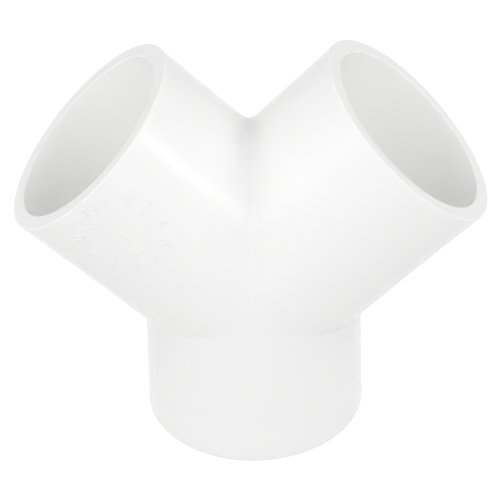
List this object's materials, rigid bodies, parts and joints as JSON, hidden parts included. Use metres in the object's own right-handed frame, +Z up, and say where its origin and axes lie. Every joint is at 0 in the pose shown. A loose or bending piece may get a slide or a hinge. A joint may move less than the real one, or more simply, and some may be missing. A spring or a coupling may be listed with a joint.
{
  "type": "pipe y connector",
  "caption": "Y-shaped rigid plastic pipe fitting: plain round sockets on splayed arms above a straight lower socket, for solvent-welded pipe, with a stop step inside every socket.",
  "frame": {"origin": "centre of the lower socket's mouth, on the surface that the fitting stands on", "axes": "+Z up along the lower leg, out of the junction between the arms; the arms lie in the XZ plane at 45 degrees to either side of +Z; +Y is square to the plane of the Y"},
  "size_m": [0.1246, 0.0588, 0.1071],
  "materials": {
    "pvc": "satin"
  },
  "bodies": {
    "root": {"y_connector": "pvc"}
  },
  "joints": []
}
